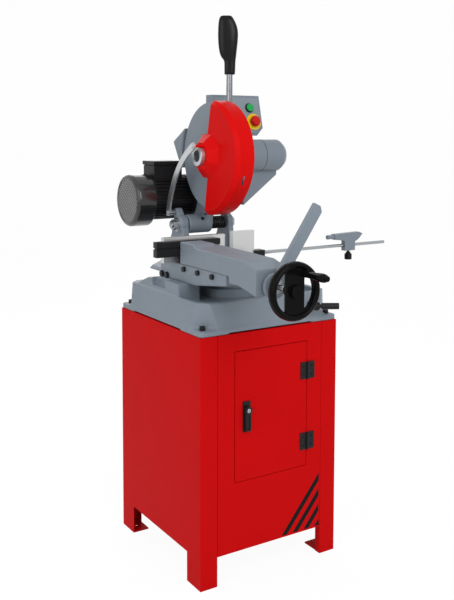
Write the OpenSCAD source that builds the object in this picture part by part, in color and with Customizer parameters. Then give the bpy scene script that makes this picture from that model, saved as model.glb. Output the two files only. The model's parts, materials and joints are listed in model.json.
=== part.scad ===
// Manual cold saw on a sheet-metal cabinet.
// Frame: millimetres, +X right along the front, +Y to the back, +Z up.
// Origin: on the floor, under the middle of the cabinet.
// Heights of everything above the cabinet are measured from the cabinet top.

/* [Cabinet] */
// Width of the cabinet
cabinet_w = 522; // [516:1:530]
// Depth of the cabinet
cabinet_d = 550; // [544:1:560]
// Height of the cabinet
cabinet_h = 790; // [760:1:860]
// Thickness of the sheet metal
sheet_t = 3; // [2:0.5:4]
// Width of the front and back flanges of a side panel
flange_w = 61; // [56:1:64]
// Clear height under the cabinet panels
leg_clear = 95; // [70:1:130]
// Depth of a leg, seen from the side
leg_d = 85; // [75:1:100]
// Diameter of the floor anchor holes
anchor_d = 12; // [10:1:16]

/* [Door] */
// Width of the door
door_w = 276; // [270:1:280]
// Height of the door
door_h = 413; // [400:1:430]
// Distance of the upper door edge below the cabinet top
door_drop = 58; // [50:1:66]
// Gap round the door
door_gap = 2; // [1.8:0.1:3]
// Width of an open hinge
hinge_w = 56; // [50:1:60]

/* [Base casting] */
// Height of the base casting
casting_h = 97; // [96:1:97]
// Thickness of the casting walls
casting_wall = 14; // [11:1:16]
// Diameter of the casting bolts
casting_bolt_d = 12; // [10:1:12]

/* [Vise] */
// Width of the vise bed and carriage
bed_w = 112; // [106:1:116]
// Diameter of the handwheel
wheel_d = 166; // [150:1:176]
// Diameter of the vise screw
screw_d = 17; // [14:1:17]
// Length of the quick clamping lever
clamp_len = 272; // [220:1:300]
// Length of the material stop rod
stop_rod_len = 590; // [560:1:640]

/* [Saw head] */
// Diameter of the saw blade
blade_d = 315; // [300:1:315]
// Thickness of the saw blade
blade_t = 2.5; // [2:0.1:3]
// Number of blade teeth
blade_teeth = 80; // [60:4:120]
// Diameter of the motor body
motor_d = 140; // [130:1:142]
// Height of the lever tube
lever_len = 190; // [170:1:220]
// Diameter of the start button
start_d = 29; // [24:1:30]
// Diameter of the emergency stop mushroom
estop_d = 40; // [36:1:44]

/* [Hidden] */
$fn = 64;

// Running clearance of a turning or sliding fit, on the radius
run = 0.05;
// Gap between bodies that move past each other
gap = 0.3;

half_w = cabinet_w / 2;
half_d = cabinet_d / 2;
seam_x = half_w - flange_w;
lip_d = 25;
foot_t = 5;
anchor_x = half_w - 31;
anchor_y = half_d - 44;

door_z = cabinet_h - door_drop - door_h;
door_x0 = -door_w / 2 + 1;
door_x1 = door_x0 + door_w;
door_depth = 18;
hinge_x = door_x1 + 3;
hinge_y = -half_d - 5.5;
hinge_h = 56;
hinge_zs = [door_z + 54, door_z + door_h - 124];
latch_x = door_x0 + 41.5;
latch_z = door_z + 226;

// Base casting: the walls lean in towards the top.
lean_x = 16;
lean_y = 25;
flange_h = 18;
deck_z = 75;
deck_t = 12;
block_z = 136;
bolt_x = half_w - 23;
bolt_y = half_d - 28;
lock_x = 160;
lock_z = 58;

// Mitre swivel axis, where the blade plane meets the fixed jaws
swivel_y = -20;
spigot_r = 45;
disc_r = 108;
arm_w = 150;
arm_z0 = 99;
arm_z1 = 125;
column_z = 155;

// Head hinge, guard link pin, spindle and motor axes, all along X
pivot = [205, 290];
link_pin = [228, 333];
spindle_at = [66, 536];
motor_at = [330, 373];
guard_pin = [50, 571];
shaft_r = 12;
lug_r = 34;
lug_x0 = -42;
lug_x1 = 52;
ear_left = [-72, -46];
// Height of the boss outside the left ear
ear_boss_t = 5;
ear_right = [120, 140];

// Vise
bed_x0 = -150 - bed_w / 2;
bed_x1 = -150 + bed_w / 2;
screw_x = -150;
screw_z = 184;
table_z = 193;
carriage_z = table_z + gap;
boss_y = -515;
wheel_y = -594;
wheel_r = wheel_d / 2;
screw_r = screw_d / 2;
crank_at = [25, 48];
grip_len = 98;

// Material stop
rod_r = 6;
rod_y = -10;
rod_z = 200;
clamp_x = 512;

// Saw head
blade_r = blade_d / 2;
spindle_r = 16;
case_x0 = 36;
case_x1 = 112;
case_wall = 8;
cover_t = 10;
housing_x1 = 270;
housing_r = 57;
drive_x = 75;
worm_gap = 60;
worm_r = 14;
axis_step = motor_at - spindle_at;
axis_dist = norm(axis_step);
// Worm line: from the motor axis, touching a circle of radius worm_gap round the spindle
worm_dir = atan2(-axis_step[1], -axis_step[0]) - asin(worm_gap / axis_dist);
worm_len = sqrt(axis_dist * axis_dist - worm_gap * worm_gap) + 50;
worm_end = motor_at + worm_len * [cos(worm_dir), sin(worm_dir)];
motor_r = motor_d / 2;
motor_x0 = -140;
fan_x0 = -212;
fan_r = motor_r + 12;
// Space between the blade's teeth and the outside of the moving guard
guard_space = 32.5;
guard_r = blade_d / 2 + guard_space;
guard_x0 = -34;
guard_x1 = 33;
sleeve_r = 26;
link_x = -98;
link_t = 6;

// Control box: the front leans back
box_x0 = 40;
box_x1 = 240;
box_front = [[124, 605], [160, 750]];
box_lean = atan2(36, 145);
lever_at = [62, 78];
lever_z0 = 634;
lever_z1 = lever_z0 + lever_len;

// Colours
red_paint = [0.75, 0.07, 0.07];
grey_paint = [0.47, 0.51, 0.55];
black_paint = [0.15, 0.15, 0.15];
bright_steel = [0.8, 0.81, 0.82];
dark_steel = [0.35, 0.36, 0.38];

// Small building blocks
module box(x0, x1, y0, y1, z0, z1) {
    translate([x0, y0, z0]) cube([x1 - x0, y1 - y0, z1 - z0]);
}

module xcyl(x0, x1, at, r) {
    translate([x0, at[0], at[1]]) rotate([0, 90, 0]) cylinder(r = r, h = x1 - x0);
}

module ycyl(y0, y1, x, z, r) {
    translate([x, y1, z]) rotate([90, 0, 0]) cylinder(r = r, h = y1 - y0);
}

module zcyl(z0, z1, x, y, r) {
    translate([x, y, z0]) cylinder(r = r, h = z1 - z0);
}

// A flat shape in (Y, Z), given thickness along X
module slab_x(x0, x1) {
    translate([x0, 0, 0]) rotate([90, 0, 90]) linear_extrude(x1 - x0) children();
}

// A flat shape in (X, Z), given thickness along Y
module slab_y(y0, y1) {
    translate([0, y1, 0]) rotate([90, 0, 0]) linear_extrude(y1 - y0) children();
}

// A flat shape in (X, Y), given thickness along Z
module slab_z(z0, z1) {
    translate([0, 0, z0]) linear_extrude(z1 - z0) children();
}

module above_cabinet() {
    translate([0, 0, cabinet_h]) children();
}

module mirror_copy(v) {
    children();
    mirror(v) children();
}

// Two round ends joined by straight sides, which run a touch inside the tangents
module strap(p, pr, q, qr) {
    inside = 0.4;
    step = q - p;
    turn = atan2(step[1], step[0]);
    tilt = acos((pr - qr) / norm(step));
    up = [cos(turn + tilt), sin(turn + tilt)];
    down = [cos(turn - tilt), sin(turn - tilt)];
    translate(p) circle(r = pr);
    translate(q) circle(r = qr);
    polygon([
        p + (pr - inside) * up, p + (pr - inside) * down,
        q + (qr - inside) * down, q + (qr - inside) * up
    ]);
}

// A pie slice from angle a0 to a1 (under 180 degrees), reaching past radius r
module wedge(at, r, a0, a1) {
    reach = 2 * r;
    mid = (a0 + a1) / 2;
    translate(at) polygon([
        [0, 0],
        reach * [cos(a0), sin(a0)],
        reach * [cos(mid), sin(mid)] * 1.5,
        reach * [cos(a1), sin(a1)]
    ]);
}

module rounded_plan(w, d, r) {
    square([w, d - 2 * r], center = true);
    square([w - 2 * r, d], center = true);
    for (sx = [-1, 1]) {
        for (sy = [-1, 1]) {
            translate([sx * (w / 2 - r), sy * (d / 2 - r)]) circle(r = r);
        }
    }
}

// Cabinet: two folded side panels with legs
module side_panel() {
    lip_x = seam_x + sheet_t;
    difference() {
        linear_extrude(cabinet_h) {
            translate([half_w - sheet_t, -half_d]) square([sheet_t, cabinet_d]);
            mirror_copy([0, 1]) {
                translate([seam_x, -half_d]) square([flange_w, sheet_t]);
                translate([seam_x, -half_d]) square([sheet_t, lip_d]);
            }
        }
        box(half_w - 2 * sheet_t, half_w + 1, -half_d + leg_d, half_d - leg_d, -1, leg_clear);
        box(0, half_w - sheet_t, sheet_t - half_d, half_d - sheet_t, cabinet_h - sheet_t, cabinet_h + 1);
    }
}

module right_side_panel() {
    color(red_paint) side_panel();
}

module left_side_panel() {
    color(red_paint) mirror([1, 0, 0]) side_panel();
}

// A panel between the side flanges, with folded edges
module plain_panel() {
    box(-seam_x, seam_x, -half_d, sheet_t - half_d, leg_clear, cabinet_h);
    mirror_copy([1, 0, 0]) {
        box(seam_x - sheet_t, seam_x, -half_d, lip_d - half_d, leg_clear, cabinet_h - sheet_t);
    }
    box(-seam_x, seam_x, -half_d, lip_d - half_d, leg_clear, leg_clear + sheet_t);
}

module front_panel() {
    hole_x0 = door_x0 - door_gap;
    hole_x1 = door_x1 + door_gap;
    hole_z0 = door_z - door_gap;
    hole_z1 = door_z + door_h + door_gap;
    edge = 2;
    color(red_paint) difference() {
        union() {
            plain_panel();
            box(hole_x0 - edge, hole_x1 + edge, -half_d, door_depth - half_d,
                hole_z0 - edge, hole_z1 + edge);
        }
        box(hole_x0, hole_x1, -half_d - 1, door_depth - half_d + 1, hole_z0, hole_z1);
    }
}

module back_panel() {
    color(red_paint) mirror([0, 1, 0]) plain_panel();
}

module top_plate() {
    color(red_paint) difference() {
        box(sheet_t - half_w, half_w - sheet_t, sheet_t - half_d, half_d - sheet_t,
            cabinet_h - sheet_t, cabinet_h);
        for (sx = [-1, 1]) {
            for (sy = [-1, 1]) {
                zcyl(cabinet_h - 20, cabinet_h + 1, sx * bolt_x, sy * bolt_y, casting_bolt_d / 2);
            }
        }
        zcyl(cabinet_h - 20, cabinet_h + 1, 0, swivel_y, 90);
    }
}

module shelf() {
    color(red_paint) box(sheet_t - seam_x, seam_x - sheet_t, sheet_t - half_d, half_d - sheet_t,
        leg_clear + sheet_t, leg_clear + 2 * sheet_t);
}

module foot_plates() {
    color(red_paint) for (sx = [0, 1]) {
        for (sy = [0, 1]) {
            mirror([sx, 0, 0]) mirror([0, sy, 0]) difference() {
                box(seam_x + sheet_t, half_w - sheet_t, sheet_t - half_d, leg_d - half_d, 0, foot_t);
                zcyl(-1, foot_t + 1, anchor_x, -anchor_y, anchor_d / 2);
            }
        }
    }
}

// Butt hinges: the lower knuckle and the pin belong to the frame
module hinge_frame_leaves() {
    color(black_paint) for (z = hinge_zs) {
        difference() {
            box(hinge_x, hinge_x + hinge_w / 2, -half_d - 3, -half_d, z, z + hinge_h);
            zcyl(z + hinge_h / 2, z + hinge_h + 1, hinge_x, hinge_y, 5 + gap);
        }
        zcyl(z, z + hinge_h / 2, hinge_x, hinge_y, 5);
        zcyl(z, z + hinge_h, hinge_x, hinge_y, 3);
    }
}

module hinge_door_leaves() {
    color(black_paint) for (z = hinge_zs) {
        difference() {
            union() {
                box(hinge_x - hinge_w / 2, hinge_x, -half_d - 3, -half_d, z, z + hinge_h);
                zcyl(z + hinge_h / 2 + gap, z + hinge_h, hinge_x, hinge_y, 5);
            }
            zcyl(z - 1, z + hinge_h / 2 + gap, hinge_x, hinge_y, 5 + gap);
            zcyl(z, z + hinge_h + 1, hinge_x, hinge_y, 3 + run);
            box(hinge_x, hinge_x + 1, -half_d - 3.2, 1 - half_d, z - 1, z + hinge_h + 1);
        }
    }
}

module door() {
    skin = 2;
    color(red_paint) difference() {
        box(door_x0, door_x1, -half_d, door_depth - half_d, door_z, door_z + door_h);
        box(door_x0 + skin, door_x1 - skin, skin - half_d, half_d, door_z + skin, door_z + door_h - skin);
        ycyl(-half_d - 1, -half_d + 5, latch_x, latch_z, 8);
    }
}

// Quarter-turn latch: plate on the door, handle with shaft, tongue behind the frame edge
module latch_plate() {
    color(black_paint) difference() {
        box(latch_x - 13.5, latch_x + 13.5, -half_d - 4, -half_d, latch_z - 70, latch_z + 27);
        ycyl(-half_d - 5, -half_d + 1, latch_x, latch_z, 7 + run);
    }
}

module latch_handle() {
    front = -half_d - 4 - gap;
    color(black_paint) {
        difference() {
            union() {
                box(latch_x - 10, latch_x + 10, front - 10, front, latch_z - 66, latch_z);
                ycyl(front - 12, front, latch_x, latch_z, 13);
            }
            ycyl(front - 13, front - 11, latch_x, latch_z, 7);
            box(latch_x - 6, latch_x + 6, front - 11, front - 7, latch_z - 60, latch_z - 18);
        }
        ycyl(front - 1, door_depth - half_d + 1, latch_x, latch_z, 7);
    }
}

module latch_tongue() {
    back = door_depth - half_d + 1;
    color(bright_steel) {
        box(door_x0 - 16, latch_x + 9, back, back + 4, latch_z - 9, latch_z + 9);
    }
}

// Base casting: leaning walls, hollow below, shallow chip tray on top
module casting_body(inset, r) {
    w = cabinet_w - 2 * inset;
    d = cabinet_d - 2 * inset;
    intersection() {
        slab_y(-half_d, half_d) polygon([
            [-w / 2, 0], [w / 2, 0], [w / 2 - lean_x, casting_h], [lean_x - w / 2, casting_h]
        ]);
        slab_x(-half_w, half_w) polygon([
            [-d / 2, 0], [d / 2, 0], [d / 2 - lean_y, casting_h], [lean_y - d / 2, casting_h]
        ]);
        slab_z(0, casting_h) rounded_plan(w, d, r);
    }
}

module base_casting() {
    corner_r = 100;
    relief_h = 4;
    tray_r = corner_r - lean_x - 4;
    color(grey_paint) above_cabinet() difference() {
        union() {
            casting_body(0, corner_r);
            difference() {
                slab_z(0, flange_h) rounded_plan(cabinet_w, cabinet_d, 14);
                box(casting_wall - half_w, half_w - casting_wall, casting_wall - half_d,
                    half_d - casting_wall, -1, flange_h + 1);
            }
            for (sx = [-1, 1]) {
                for (sy = [-1, 1]) {
                    zcyl(0, flange_h, sx * bolt_x, sy * bolt_y, 20);
                }
            }
            // Raised block under the vise bed, and the support under the table
            slab_x(-238, -158) polygon([
                [-96, deck_z - 1], [-96, block_z], [60, block_z], [120, 128], [200, 97], [200, deck_z - 1]
            ]);
            box(94, 110, -128, -98, deck_z - 1, block_z);
            zcyl(deck_z - deck_t - 8, deck_z, 0, swivel_y, 100);
        }
        // Hollow below the deck
        intersection() {
            casting_body(casting_wall, corner_r - casting_wall);
            difference() {
                box(-half_w, half_w, -half_d, half_d, -1, deck_z - deck_t);
                zcyl(deck_z - deck_t - 8, deck_z, 0, swivel_y, 100);
            }
        }
        // Tray above the deck, kept clear of the two blocks
        difference() {
            slab_z(deck_z, casting_h + 1)
                rounded_plan(cabinet_w - 2 * (lean_x + 14), cabinet_d - 2 * (lean_y + 14), tray_r);
            box(-300, -158, -96, 200, 0, 200);
            box(94, 110, -128, -98, 0, 200);
        }
        // Relief between the corner pads
        box(-160, 160, -half_d - 1, half_d + 1, -1, relief_h);
        box(-half_w - 1, half_w + 1, -150, 180, -1, relief_h);
        for (sx = [-1, 1]) {
            for (sy = [-1, 1]) {
                zcyl(-1, flange_h + 1, sx * bolt_x, sy * bolt_y, casting_bolt_d / 2);
                zcyl(flange_h, casting_h, sx * bolt_x, sy * bolt_y, 12);
            }
        }
        zcyl(0, deck_z + 1, 0, swivel_y, spigot_r);
        box(-240, -216, -5, 85, 108, 140);
        ycyl(-half_d, -half_d + 60, lock_x, lock_z, 8);
    }
}

module casting_bolts() {
    head_r = 0.75 * casting_bolt_d;
    color(black_paint) above_cabinet() for (sx = [-1, 1]) {
        for (sy = [-1, 1]) {
            difference() {
                union() {
                    zcyl(flange_h, flange_h + casting_bolt_d, sx * bolt_x, sy * bolt_y, head_r);
                    zcyl(-14, flange_h, sx * bolt_x, sy * bolt_y, casting_bolt_d / 2 - run);
                    zcyl(-14, -sheet_t, sx * bolt_x, sy * bolt_y, head_r + 1);
                }
                zcyl(flange_h + 6, flange_h + 20, sx * bolt_x, sy * bolt_y, 0.4 * casting_bolt_d, $fn = 6);
            }
        }
    }
}

// Mitre turntable: disc on the deck, spigot in its bore, arm to the back
module turntable() {
    color(grey_paint) above_cabinet() {
        zcyl(deck_z + gap, arm_z0 + 4, 0, swivel_y, disc_r);
        zcyl(deck_z - deck_t - 8 - gap, deck_z + 1, 0, swivel_y, spigot_r - run);
        slab_z(arm_z0, arm_z1) {
            translate([0, swivel_y]) circle(d = arm_w);
            translate([-arm_w / 2, swivel_y]) square([arm_w, 300 - swivel_y]);
        }
    }
}

module swivel_clamp_ring() {
    ring_z = deck_z - deck_t - 8 - gap;
    color(dark_steel) above_cabinet() {
        zcyl(ring_z - 8, ring_z, 0, swivel_y, spigot_r + 12);
        zcyl(ring_z - 16, ring_z - 8, 0, swivel_y, 12, $fn = 6);
    }
}

module lock_lever() {
    hub_y = -half_d - 2;
    color(black_paint) above_cabinet() {
        ycyl(hub_y, -half_d + 50, lock_x, lock_z, 8 - run);
        ycyl(hub_y - 24, hub_y, lock_x, lock_z, 14);
        translate([lock_x, hub_y - 18, lock_z]) rotate([0, 90, -32]) {
            cylinder(r = 6, h = 26);
            translate([0, 0, 18]) cylinder(r = 10.5, h = 56);
        }
    }
}

// Column on the turntable arm, with two ears for the head hinge
module column() {
    color(grey_paint) above_cabinet() difference() {
        union() {
            slab_y(140, 300) polygon([
                [-140, arm_z1], [185, arm_z1], [170, 138], [150, column_z], [-84, column_z], [-128, 138]
            ]);
            for (ear = [ear_left, ear_right]) {
                slab_x(ear[0], ear[1]) {
                    polygon([
                        [150, column_z - 1], [299, column_z - 1], [pivot[0] + 0.8 * lug_r, pivot[1] + 0.5 * lug_r],
                        [pivot[0] - 0.9 * lug_r, pivot[1]]
                    ]);
                    translate(pivot) circle(r = lug_r);
                }
            }
            xcyl(ear_left[0] - ear_boss_t, ear_left[0] + 1, pivot, lug_r - 3);
            // Cross wall below the head lug
            box(ear_left[0] + 1, ear_right[1] - 1, 188, 226, column_z - 1, 245);
            // Horn for the guard link pin
            slab_x(ear_left[0], ear_left[1]) strap(pivot, 24, link_pin, 14);
        }
        xcyl(ear_left[0] - ear_boss_t - 1, ear_right[1] + 1, pivot, shaft_r);
        xcyl(ear_left[0] - 1, ear_left[1] + 1, link_pin, 6);
    }
}

module pivot_shaft() {
    color(bright_steel) above_cabinet() {
        xcyl(ear_left[0] - ear_boss_t - 25, ear_right[1] + 18, pivot, shaft_r);
        // Fixed pin of the guard link
        xcyl(link_x - link_t / 2 - 8, ear_left[1], link_pin, 6);
    }
}

module pivot_nuts() {
    color(dark_steel) above_cabinet() {
        difference() {
            union() {
                xcyl(ear_left[0] - ear_boss_t - 20, ear_left[0] - ear_boss_t - 3, pivot, 20, $fn = 6);
                xcyl(ear_left[0] - ear_boss_t - 3, ear_left[0] - ear_boss_t, pivot, 25);
                xcyl(ear_right[1], ear_right[1] + 14, pivot, 22, $fn = 6);
            }
            xcyl(ear_left[0] - 40, ear_right[1] + 30, pivot, shaft_r);
        }
        difference() {
            xcyl(link_x - link_t / 2 - 7, link_x - link_t / 2 - gap, link_pin, 11, $fn = 6);
            xcyl(link_x - 20, link_x, link_pin, 6);
        }
        difference() {
            xcyl(link_x + link_t / 2 + gap, ear_left[0], link_pin, 10);
            xcyl(link_x, ear_left[0] + 1, link_pin, 6);
        }
    }
}

// Return spring: a wound wire round the hinge shaft, between the lug and the right ear
spring_turns = 7;
spring_rings = 8;
spring_sides = 6;
wire_r = 3.3;
coil_r = 20;
spring_end = 2 * wire_r;
spring_x0 = lug_x1 + wire_r + gap;
spring_x1 = ear_right[0] - wire_r - gap / 2;
spring_pitch = (spring_x1 - spring_x0) / spring_turns;
spring_steps = spring_turns * spring_rings;
echo(spring_gap = spring_pitch - 2 * wire_r);

// Angle round the coil at step i; the straight ends keep the angle of the coil's end
function coil_angle(i) = 360 * max(0, min(spring_steps, i)) / spring_rings;

// Direction of the wire at step i
function wire_along(i) =
    let (
        a = coil_angle(i),
        v = [spring_pitch / (2 * PI), -coil_r * sin(a), coil_r * cos(a)]
    )
    v / norm(v);

// Middle of the wire at step i, with a straight end before and after the coil
function coil_at(i) =
    i < 0 ? coil_at(0) - spring_end * [0, 0, 1]
    : i > spring_steps ? coil_at(spring_steps) + spring_end * [0, 0, 1]
    : [
        spring_x0 + spring_pitch * i / spring_rings,
        coil_r * cos(coil_angle(i)),
        coil_r * sin(coil_angle(i))
    ];

// One point of the wire's skin: ring i, side k, laid out across the wire
function wire_point(i, k) =
    let (
        a = coil_angle(i),
        out = [0, cos(a), sin(a)],
        side = cross(wire_along(i), out),
        t = 360 * k / spring_sides
    )
    coil_at(i) + wire_r * (cos(t) * out + sin(t) * side);

module return_spring() {
    count = spring_steps + 3;
    points = [for (i = [-1:spring_steps + 1]) for (k = [0:spring_sides - 1]) wire_point(i, k)];
    sides = [
        for (i = [0:count - 2]) for (k = [0:spring_sides - 1])
            let (
                n = (k + 1) % spring_sides,
                a = i * spring_sides,
                b = a + spring_sides
            )
            each [[a + k, a + n, b + k], [a + n, b + n, b + k]]
    ];
    top = (count - 1) * spring_sides;
    ends = [
        for (k = [1:spring_sides - 2]) each [[0, k + 1, k], [top, top + k, top + k + 1]]
    ];
    color(black_paint) above_cabinet() translate([0, pivot[0], pivot[1]])
        polyhedron(points = points, faces = concat(sides, ends));
}

// Vise: bed and table in one casting, bolted to the raised block of the base
module vise_bed() {
    channel_w = 40;
    color(grey_paint) above_cabinet() difference() {
        union() {
            slab_x(bed_x0, bed_x1) polygon([
                [85, block_z], [85, table_z], [-328, table_z], [-328, 161], [-177, 140], [-150, block_z]
            ]);
            box(bed_x1 - 1, 110, -130, 60, block_z, table_z);
            // Backing ribs behind the fixed jaws
            box(bed_x0, -24, 0, 18, table_z - 1, 248);
            box(24, 100, 0, 18, table_z - 1, 248);
        }
        // Channel for the screw and its nut
        box(screw_x - channel_w / 2, screw_x + channel_w / 2, -329, 86, 164, table_z + 1);
        // Fan-shaped recess that lets the blade finish its cut at any mitre angle
        slab_z(table_z - 12, table_z + 1) {
            intersection() {
                translate([0, swivel_y]) circle(r = 115);
                wedge([0, swivel_y], 115, 218, 278);
            }
            translate([0, swivel_y]) circle(r = 14);
        }
        for (y = [33, 67]) {
            xcyl(bed_x0 - 1, bed_x0 + 20, [y, 146], 5);
        }
        for (y = [-255, -168, -81]) {
            xcyl(bed_x0 - 1, bed_x0 + 20, [y, 180], 4);
        }
    }
}

// Screws on the left side of the bed: two holding screws and three gib screws
module bed_screws() {
    color(black_paint) above_cabinet() {
        for (y = [33, 67]) {
            xcyl(bed_x0 - 7, bed_x0, [y, 146], 8, $fn = 6);
            xcyl(bed_x0 - 1, bed_x0 + 20, [y, 146], 5);
        }
        for (y = [-255, -168, -81]) {
            xcyl(bed_x0 - 6, bed_x0, [y, 180], 6.5);
            xcyl(bed_x0 - 1, bed_x0 + 20, [y, 180], 4);
        }
    }
}

module fixed_jaw_left() {
    color(bright_steel) above_cabinet() box(-249, -16, -20, 0, table_z, 276);
}

module fixed_jaw_right() {
    color(bright_steel) above_cabinet() box(15, 103, -20, 0, table_z, 282);
}

module vise_nut() {
    color("goldenrod") above_cabinet() difference() {
        box(screw_x - 20, screw_x + 20, -66, -20, 164, table_z - gap);
        ycyl(-70, 0, screw_x, screw_z, screw_r + run);
        box(screw_x - 8, screw_x + 8, -70, 0, screw_z, table_z + 1);
    }
}

// Sliding carriage with the boss for screw and clamping lever
module vise_carriage() {
    color(grey_paint) above_cabinet() difference() {
        union() {
            slab_x(bed_x0, bed_x1) polygon([
                [-50, carriage_z], [-50, 255], [-150, 255], [-420, 250], [-486, 232],
                [-486, 155], [-440, 165], [-398, 173], [-345, 173], [-345, carriage_z]
            ]);
            slab_x(bed_x0, bed_x0 + 78) polygon([
                [-50, 250], [-50, 265], [-132, 265], [-156, 250]
            ]);
            ycyl(boss_y, -470, screw_x, screw_z, 26);
            // Two guide rails in the channel of the bed
            for (side = [-1, 1]) {
                box(screw_x + side * 15.5 - 4, screw_x + side * 15.5 + 4, -300, -100, 174, carriage_z + 1);
            }
        }
        ycyl(-462, -40, screw_x, screw_z, screw_r + 1.2);
        box(bed_x0 + 12, bed_x1 - 12, -462, -345, 140, 236);
        ycyl(boss_y - 1, -440, screw_x, screw_z, 8 + run);
    }
}

module moving_jaw() {
    color(black_paint) above_cabinet() difference() {
        box(-290, -52, -50, -25, 217, 267);
        box(-291, -51, -29, -24, 238, 246);
    }
}

// Screw with a journal in the boss, and a collar on each side of it
module vise_screw() {
    color(bright_steel) above_cabinet() {
        ycyl(-460, 80, screw_x, screw_z, screw_r);
        ycyl(wheel_y + 4, -459, screw_x, screw_z, 8);
        difference() {
            ycyl(boss_y - gap - 8, boss_y - gap, screw_x, screw_z, 20);
            ycyl(boss_y - 20, boss_y, screw_x, screw_z, 8);
        }
    }
}

module handwheel() {
    rim_w = 28;
    color(black_paint) above_cabinet() translate([screw_x, wheel_y, screw_z]) rotate([90, 0, 0]) {
        rotate_extrude() {
            translate([wheel_r - 8, 0]) square([12, rim_w - 12], center = true);
            translate([wheel_r - 8, rim_w / 2 - 6]) circle(r = 6);
            translate([wheel_r - 8, 6 - rim_w / 2]) circle(r = 6);
        }
        difference() {
            union() {
                translate([0, 0, -28]) cylinder(r = 19, h = 44);
                translate([0, 0, -4]) linear_extrude(9) intersection() {
                    circle(r = wheel_r - 9);
                    square([62, 2 * wheel_r], center = true);
                }
                translate([crank_at[0], crank_at[1], 0]) cylinder(r = 10, h = 10);
            }
            translate([0, 0, -40]) cylinder(r = 8, h = 36);
            translate([crank_at[0], crank_at[1], -10]) cylinder(r = 5, h = 40);
        }
        // Fixed stud of the crank grip
        translate([crank_at[0], crank_at[1], -4]) cylinder(r = 5, h = grip_len + 16);
        translate([crank_at[0], crank_at[1], 10 + grip_len + gap]) cylinder(r = 8, h = 5);
    }
}

module crank_grip() {
    color(black_paint) above_cabinet() translate([screw_x, wheel_y, screw_z]) rotate([90, 0, 0])
        translate([crank_at[0], crank_at[1], 10 + gap]) difference() {
            rotate_extrude() polygon([
                [5 + run, 0], [9, 0], [10, 4], [9, 16], [9.5, 0.45 * grip_len], [12, 0.72 * grip_len],
                [12.5, 0.84 * grip_len], [11.5, 0.93 * grip_len], [9, grip_len - gap], [5 + run, grip_len - gap]
            ]);
        }
}

// Flat quick-clamping lever with an eye round the boss
module clamp_lever() {
    lean = 34.7;
    eye_y = -506;
    color(bright_steel) above_cabinet() translate([screw_x, eye_y, screw_z]) rotate([0, lean, 0])
        slab_y(0, 12) difference() {
            union() {
                circle(r = 37);
                polygon([
                    [-19, 0], [19, 0], [19, clamp_len - 12], [5, clamp_len], [-19, clamp_len - 4]
                ]);
            }
            circle(r = 26 + run);
        }
}

// Material stop: bracket on the table end, rod, sliding clamp and knob
module stop_bracket() {
    color(dark_steel) above_cabinet() difference() {
        union() {
            box(110, 143, rod_y - 18, rod_y + 18, 168, 211);
            box(103, 111, rod_y - 18, rod_y + 18, table_z, 211);
        }
        xcyl(100, 150, [rod_y, rod_z], rod_r);
    }
}

module stop_rod() {
    color(bright_steel) above_cabinet() xcyl(117, 117 + stop_rod_len, [rod_y, rod_z], rod_r);
}

module stop_clamp() {
    arm_x0 = clamp_x - 52;
    arm_x1 = clamp_x + 80;
    color(dark_steel) above_cabinet() difference() {
        union() {
            slab_y(rod_y - 11, rod_y + 11) polygon([
                [arm_x0, 224], [arm_x0, 244], [arm_x1 - 14, 247], [arm_x1, 240],
                [arm_x1 - 18, 222], [clamp_x + 44, 212], [clamp_x + 44, 180],
                [clamp_x - 4, 180], [clamp_x - 4, 218]
            ]);
            xcyl(arm_x0 - 29, arm_x0 + 4, [rod_y, 234], 8);
        }
        xcyl(clamp_x - 20, clamp_x + 70, [rod_y, rod_z], rod_r + run);
        zcyl(170, rod_z, clamp_x + 20, rod_y, 5 + run);
    }
}

module stop_knob() {
    tip_z = rod_z - rod_r - gap;
    color(black_paint) above_cabinet() {
        zcyl(160, tip_z, clamp_x + 20, rod_y, 5);
        zcyl(146, 168, clamp_x + 20, rod_y, 14, $fn = 10);
        zcyl(168, 174, clamp_x + 20, rod_y, 9);
    }
}

// Outline of the gear case: round the spindle, round the motor axis, and along the worm
module case_outline(inset) {
    strap(spindle_at, housing_r - inset, motor_at, 85 - inset);
    strap(worm_end, 24 - inset, motor_at, 30 - inset);
}

// Space inside the gear case; the worm's end wall is left standing
module case_room() {
    inner_end = worm_end - 22 * [cos(worm_dir), sin(worm_dir)];
    strap(spindle_at, housing_r - case_wall, motor_at, 85 - case_wall);
    strap(inner_end, worm_r + 2, motor_at, 30);
}

// Local frame on the worm line: +Z runs from the motor axis to the worm
module on_worm_line() {
    translate([drive_x, motor_at[0], motor_at[1]]) rotate([worm_dir, 0, 0]) rotate([-90, 0, 0]) children();
}

module gear_case() {
    rear_plate = [[235, 633], [323, 583], [285, 521], [252, 486]];
    rear_gusset = [[235, 633], [323, 583], [300, 470], [225, 470]];
    web = [[172, 285], [236, 278], [340, 340], [300, 420], [150, 470]];
    color(grey_paint) above_cabinet() difference() {
        union() {
            slab_x(case_x0, case_x1) case_outline(0);
            xcyl(lug_x0, lug_x1, pivot, lug_r);
            slab_x(case_x0, lug_x1) polygon(web);
            slab_x(-28, case_x0 + 1) difference() {
                polygon(rear_plate);
                translate(spindle_at) circle(r = guard_r + 4);
            }
            slab_x(case_x0, case_x0 + 14) polygon(rear_gusset);
            // Seats of the control box and of the lever tube
            box(60, 100, 132, 182, 520, box_front[0][1]);
            zcyl(600, lever_z0 + 22, lever_at[0], lever_at[1], 18);
        }
        slab_x(case_x0 + case_wall, case_x1 + 1) case_room();
        xcyl(case_x0 - 1, case_x0 + 20, spindle_at, spindle_r + run);
        xcyl(case_x0 - 1, case_x0 + 20, motor_at, 10 + run);
        on_worm_line() cylinder(r = 8 + run, h = worm_len - 4);
        zcyl(lever_z0, lever_z0 + 60, lever_at[0], lever_at[1], 11);
        xcyl(lug_x0 - 1, lug_x1 + 1, pivot, shaft_r + run);
    }
}

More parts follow.
